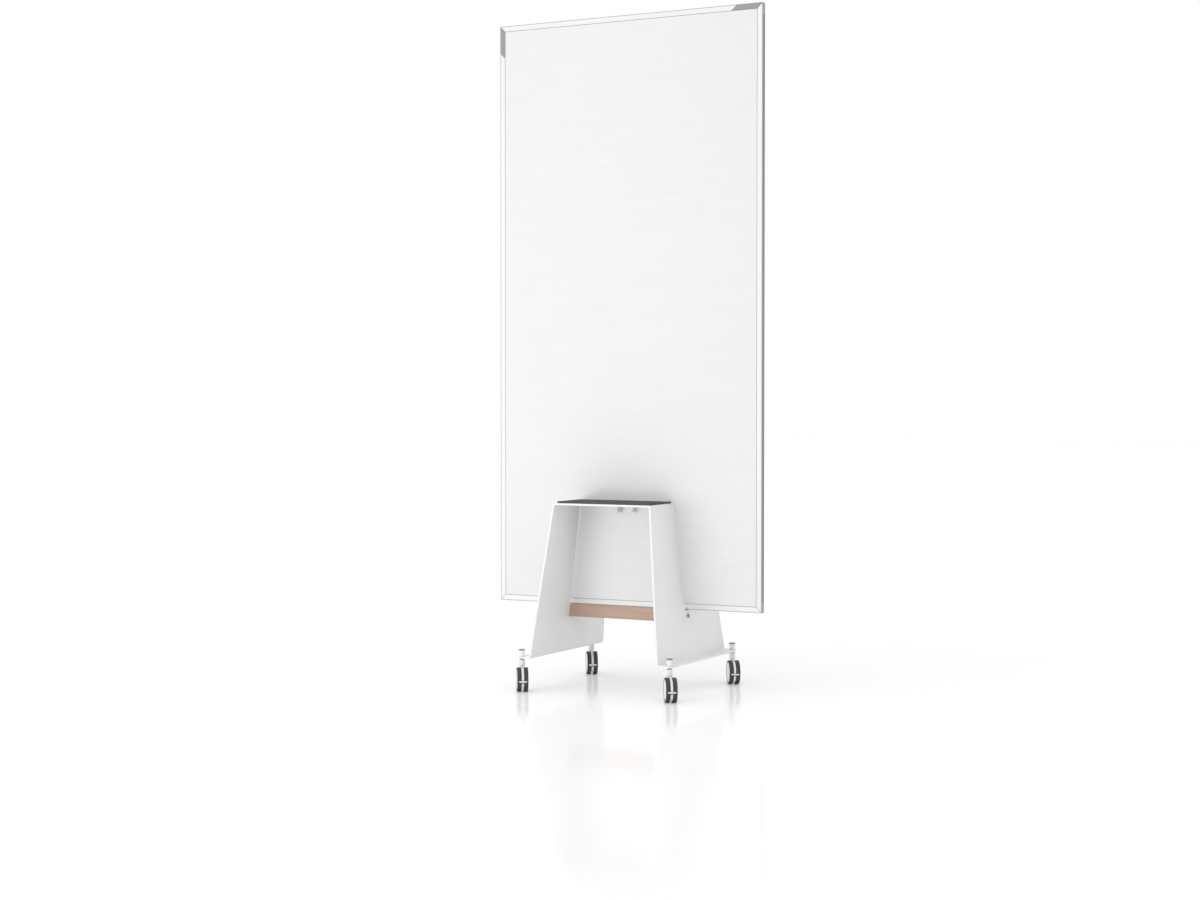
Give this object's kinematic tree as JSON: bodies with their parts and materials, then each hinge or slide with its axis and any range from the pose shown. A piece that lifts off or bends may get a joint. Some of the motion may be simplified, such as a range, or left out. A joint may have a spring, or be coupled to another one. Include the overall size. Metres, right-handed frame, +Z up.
{
  "type": "rolling whiteboard",
  "caption": "Tall double-sided framed writing board standing in the slot of a folded white sheet stand with a dark shelf mat, a wooden crossbar and twin-wheel castors.",
  "frame": {"origin": "on the floor under the middle of the whole object's box; the board's mid-plane is 20.89 mm behind it", "axes": "+X along the board to the right seen from the front, +Y from front to back, +Z up"},
  "size_m": [0.992, 0.585, 2.274],
  "materials": {
    "stand_paint": "white satin powder coat",
    "writing_enamel": "white gloss enamel",
    "frame_paint": "white satin lacquer on aluminium",
    "accent_grey": "mid grey satin",
    "edge_grey": "dark grey satin",
    "clip_grey": "mid grey satin",
    "seal_grey": "matt",
    "core_board": "honeycomb board",
    "key_aluminium": "mill finish",
    "mat_charcoal": "fine matt texture",
    "oak": "oiled, open grain",
    "bolt_dark": "dark zinc",
    "insert_brass": "plain",
    "steel": "bright zinc",
    "stem_dark": "blackened",
    "castor_white": "white moulded",
    "hub_grey": "light grey moulded",
    "cap_grey": "polished grey",
    "tyre_dark": "soft polyurethane tread",
    "bush_plastic": "natural acetal",
    "clamp_white": "light grey moulded",
    "pad_rubber": "soft"
  },
  "bodies": {
    "stand": {"stand_sheet": "stand_paint", "shelf_mats": "mat_charcoal", "crossbar": "oak", "crossbar_bolts": "bolt_dark", "crossbar_inserts": "insert_brass", "clamp_brackets_front": "stand_paint", "stop_brackets_rear": "stand_paint", "stop_pads_rear": "pad_rubber", "castor_stems": "stem_dark", "castor_sleeves": "castor_white", "castor_caps": "cap_grey"},
    "board": {"board_core": "core_board", "writing_sheet_front": "writing_enamel", "writing_sheet_rear": "writing_enamel", "seam_seals": "seal_grey", "frame_top": "frame_paint", "frame_right": "frame_paint", "frame_bottom": "frame_paint", "frame_left": "frame_paint", "corner_keys": "key_aluminium", "edge_clips": "clip_grey", "edge_strips": "edge_grey", "accent_left": "accent_grey", "accent_top": "accent_grey"},
    "clamp_pad_left": {"clamp_pad_left": "pad_rubber"},
    "clamp_screw_left": {"clamp_screw_left": "clamp_white"},
    "clamp_pad_right": {"clamp_pad_right": "pad_rubber"},
    "clamp_screw_right": {"clamp_screw_right": "clamp_white"},
    "castor_fl": {"castor_fl_housing": "castor_white", "castor_fl_bush": "bush_plastic", "castor_fl_axle": "steel"},
    "castor_fl_wheel_left": {"castor_fl_hub_left": "hub_grey", "castor_fl_tyre_left": "tyre_dark"},
    "castor_fl_wheel_right": {"castor_fl_hub_right": "hub_grey", "castor_fl_tyre_right": "tyre_dark"},
    "castor_fl_brake": {"castor_fl_pedal": "castor_white"},
    "castor_fr": {"castor_fr_housing": "castor_white", "castor_fr_bush": "bush_plastic", "castor_fr_axle": "steel"},
    "castor_fr_wheel_left": {"castor_fr_hub_left": "hub_grey", "castor_fr_tyre_left": "tyre_dark"},
    "castor_fr_wheel_right": {"castor_fr_hub_right": "hub_grey", "castor_fr_tyre_right": "tyre_dark"},
    "castor_fr_brake": {"castor_fr_pedal": "castor_white"},
    "castor_rl": {"castor_rl_housing": "castor_white", "castor_rl_bush": "bush_plastic", "castor_rl_axle": "steel"},
    "castor_rl_wheel_left": {"castor_rl_hub_left": "hub_grey", "castor_rl_tyre_left": "tyre_dark"},
    "castor_rl_wheel_right": {"castor_rl_hub_right": "hub_grey", "castor_rl_tyre_right": "tyre_dark"},
    "castor_rl_brake": {"castor_rl_pedal": "castor_white"},
    "castor_rr": {"castor_rr_housing": "castor_white", "castor_rr_bush": "bush_plastic", "castor_rr_axle": "steel"},
    "castor_rr_wheel_left": {"castor_rr_hub_left": "hub_grey", "castor_rr_tyre_left": "tyre_dark"},
    "castor_rr_wheel_right": {"castor_rr_hub_right": "hub_grey", "castor_rr_tyre_right": "tyre_dark"},
    "castor_rr_brake": {"castor_rr_pedal": "castor_white"}
  },
  "joints": [
    {"name": "board_lift", "type": "slide", "parent": "stand", "child": "board", "axis": [0, 0, 1], "range_m": [0, 0.4]},
    {"name": "clamp_left_travel", "type": "slide", "parent": "stand", "child": "clamp_pad_left", "axis": [0, -1, 0], "range_m": [0, 0.004]},
    {"name": "clamp_left_turn", "type": "hinge", "parent": "clamp_pad_left", "child": "clamp_screw_left", "pos_m": [-0.027, -0.00911, 0.602], "axis": [0, -1, 0], "range_deg": [0, 1800]},
    {"name": "clamp_right_travel", "type": "slide", "parent": "stand", "child": "clamp_pad_right", "axis": [0, -1, 0], "range_m": [0, 0.004]},
    {"name": "clamp_right_turn", "type": "hinge", "parent": "clamp_pad_right", "child": "clamp_screw_right", "pos_m": [0.027, -0.00911, 0.602], "axis": [0, -1, 0], "range_deg": [0, 1800]},
    {"name": "castor_fl_swivel", "type": "hinge", "parent": "stand", "child": "castor_fl", "pos_m": [-0.2754, -0.22771, 0.095], "axis": [0, 0, 1], "continuous": true},
    {"name": "castor_fl_spin_left", "type": "hinge", "parent": "castor_fl", "child": "castor_fl_wheel_left", "pos_m": [-0.26222, -0.24777, 0.04], "axis": [0.8358, 0.549, 0], "continuous": true},
    {"name": "castor_fl_spin_right", "type": "hinge", "parent": "castor_fl", "child": "castor_fl_wheel_right", "pos_m": [-0.26222, -0.24777, 0.04], "axis": [0.8358, 0.549, 0], "continuous": true},
    {"name": "castor_fl_brake_press", "type": "hinge", "parent": "castor_fl", "child": "castor_fl_brake", "pos_m": [-0.25124, -0.26449, 0.036], "axis": [0.8358, 0.549, 0], "range_deg": [0, 10]},
    {"name": "castor_fr_swivel", "type": "hinge", "parent": "stand", "child": "castor_fr", "pos_m": [0.2754, -0.22771, 0.095], "axis": [0, 0, 1], "continuous": true},
    {"name": "castor_fr_spin_left", "type": "hinge", "parent": "castor_fr", "child": "castor_fr_wheel_left", "pos_m": [0.28858, -0.24777, 0.04], "axis": [0.8358, 0.549, 0], "continuous": true},
    {"name": "castor_fr_spin_right", "type": "hinge", "parent": "castor_fr", "child": "castor_fr_wheel_right", "pos_m": [0.28858, -0.24777, 0.04], "axis": [0.8358, 0.549, 0], "continuous": true},
    {"name": "castor_fr_brake_press", "type": "hinge", "parent": "castor_fr", "child": "castor_fr_brake", "pos_m": [0.29956, -0.26449, 0.036], "axis": [0.8358, 0.549, 0], "range_deg": [0, 10]},
    {"name": "castor_rl_swivel", "type": "hinge", "parent": "stand", "child": "castor_rl", "pos_m": [-0.2754, 0.26949, 0.095], "axis": [0, 0, 1], "continuous": true},
    {"name": "castor_rl_spin_left", "type": "hinge", "parent": "castor_rl", "child": "castor_rl_wheel_left", "pos_m": [-0.26222, 0.24943, 0.04], "axis": [0.8358, 0.549, 0], "continuous": true},
    {"name": "castor_rl_spin_right", "type": "hinge", "parent": "castor_rl", "child": "castor_rl_wheel_right", "pos_m": [-0.26222, 0.24943, 0.04], "axis": [0.8358, 0.549, 0], "continuous": true},
    {"name": "castor_rl_brake_press", "type": "hinge", "parent": "castor_rl", "child": "castor_rl_brake", "pos_m": [-0.25124, 0.23271, 0.036], "axis": [0.8358, 0.549, 0], "range_deg": [0, 10]},
    {"name": "castor_rr_swivel", "type": "hinge", "parent": "stand", "child": "castor_rr", "pos_m": [0.2754, 0.26949, 0.095], "axis": [0, 0, 1], "continuous": true},
    {"name": "castor_rr_spin_left", "type": "hinge", "parent": "castor_rr", "child": "castor_rr_wheel_left", "pos_m": [0.28858, 0.24943, 0.04], "axis": [0.8358, 0.549, 0], "continuous": true},
    {"name": "castor_rr_spin_right", "type": "hinge", "parent": "castor_rr", "child": "castor_rr_wheel_right", "pos_m": [0.28858, 0.24943, 0.04], "axis": [0.8358, 0.549, 0], "continuous": true},
    {"name": "castor_rr_brake_press", "type": "hinge", "parent": "castor_rr", "child": "castor_rr_brake", "pos_m": [0.29956, 0.23271, 0.036], "axis": [0.8358, 0.549, 0], "range_deg": [0, 10]}
  ],
  "couplings": [
    {"joint": "clamp_left_turn", "follows": "clamp_left_travel", "rad_per_m": 7853.9},
    {"joint": "clamp_right_turn", "follows": "clamp_right_travel", "rad_per_m": 7853.9}
  ]
}
